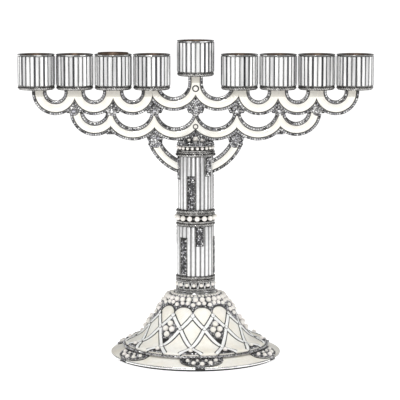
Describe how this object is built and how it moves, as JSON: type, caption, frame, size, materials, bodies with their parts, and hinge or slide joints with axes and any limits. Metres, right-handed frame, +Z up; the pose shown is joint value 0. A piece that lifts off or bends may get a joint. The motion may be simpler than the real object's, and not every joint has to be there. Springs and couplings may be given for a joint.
{
  "type": "menorah",
  "caption": "Jewelled table menorah: bell base, two-drum column, three tiers of enamelled swags and a straight row of crystal candle cups, the centre one raised.",
  "frame": {"origin": "centre of the underside of the felt pad, on the surface that it stands on", "axes": "+X along the row of cups, to the right as seen from the front; +Y to the back; +Z up"},
  "size_m": [0.2676, 0.1304, 0.2396],
  "materials": {
    "pewter": "antique silver plate on cast zinc alloy, darkened in the recesses",
    "cream_enamel": "glossy cream enamel in cast metal borders",
    "silvered_rib": "bright silver plate, upright ribs",
    "clear_crystal": "clear cut crystal, foil backed",
    "white_pearl": "imitation pearl, soft sheen",
    "brass": "tarnished brass",
    "zinc_steel": "zinc plated",
    "black_felt": "felt"
  },
  "bodies": {
    "stand": {"arm_left": "cream_enamel", "arm_right": "cream_enamel", "base_dome": "cream_enamel", "base_plate": "pewter", "capital": "pewter", "capital_pearls": "white_pearl", "dome_pearls": "white_pearl", "felt_pad": "black_felt", "lower_cluster_left": "clear_crystal", "lower_cluster_right": "clear_crystal", "lower_collar": "pewter", "lower_drum": "silvered_rib", "lower_pearls": "white_pearl", "medallion_ring": "pewter", "middle_collar": "pewter", "middle_pearls": "white_pearl", "nut": "zinc_steel", "tie_rod": "zinc_steel", "tier_middle": "cream_enamel", "tier_top": "cream_enamel", "upper_drum": "silvered_rib", "washer": "zinc_steel", "junction_stone_1": "clear_crystal", "junction_stone_2": "clear_crystal", "junction_stone_3": "clear_crystal", "junction_stone_4": "clear_crystal", "junction_stone_5": "clear_crystal", "junction_stone_6": "clear_crystal", "junction_stone_7": "clear_crystal", "cup_1_shell": "pewter", "cup_1_crystals": "clear_crystal", "cup_2_shell": "pewter", "cup_2_crystals": "clear_crystal", "cup_3_shell": "pewter", "cup_3_crystals": "clear_crystal", "cup_4_shell": "pewter", "cup_4_crystals": "clear_crystal", "cup_5_shell": "pewter", "cup_5_crystals": "clear_crystal", "cup_6_shell": "pewter", "cup_6_crystals": "clear_crystal", "cup_7_shell": "pewter", "cup_7_crystals": "clear_crystal", "cup_8_shell": "pewter", "cup_8_crystals": "clear_crystal", "cup_shamash_shell": "pewter", "cup_shamash_crystals": "clear_crystal"},
    "liner_1": {"cup_1_liner": "brass"},
    "liner_2": {"cup_2_liner": "brass"},
    "liner_3": {"cup_3_liner": "brass"},
    "liner_4": {"cup_4_liner": "brass"},
    "liner_5": {"cup_5_liner": "brass"},
    "liner_6": {"cup_6_liner": "brass"},
    "liner_7": {"cup_7_liner": "brass"},
    "liner_8": {"cup_8_liner": "brass"},
    "liner_shamash": {"cup_shamash_liner": "brass"}
  },
  "joints": [
    {"name": "liner_1_lift", "type": "slide", "parent": "stand", "child": "liner_1", "axis": [0, 0, 1], "range_m": [0, 0.03]},
    {"name": "liner_2_lift", "type": "slide", "parent": "stand", "child": "liner_2", "axis": [0, 0, 1], "range_m": [0, 0.03]},
    {"name": "liner_3_lift", "type": "slide", "parent": "stand", "child": "liner_3", "axis": [0, 0, 1], "range_m": [0, 0.03]},
    {"name": "liner_4_lift", "type": "slide", "parent": "stand", "child": "liner_4", "axis": [0, 0, 1], "range_m": [0, 0.03]},
    {"name": "liner_5_lift", "type": "slide", "parent": "stand", "child": "liner_5", "axis": [0, 0, 1], "range_m": [0, 0.03]},
    {"name": "liner_6_lift", "type": "slide", "parent": "stand", "child": "liner_6", "axis": [0, 0, 1], "range_m": [0, 0.03]},
    {"name": "liner_7_lift", "type": "slide", "parent": "stand", "child": "liner_7", "axis": [0, 0, 1], "range_m": [0, 0.03]},
    {"name": "liner_8_lift", "type": "slide", "parent": "stand", "child": "liner_8", "axis": [0, 0, 1], "range_m": [0, 0.03]},
    {"name": "liner_shamash_lift", "type": "slide", "parent": "stand", "child": "liner_shamash", "axis": [0, 0, 1], "range_m": [0, 0.03]}
  ]
}
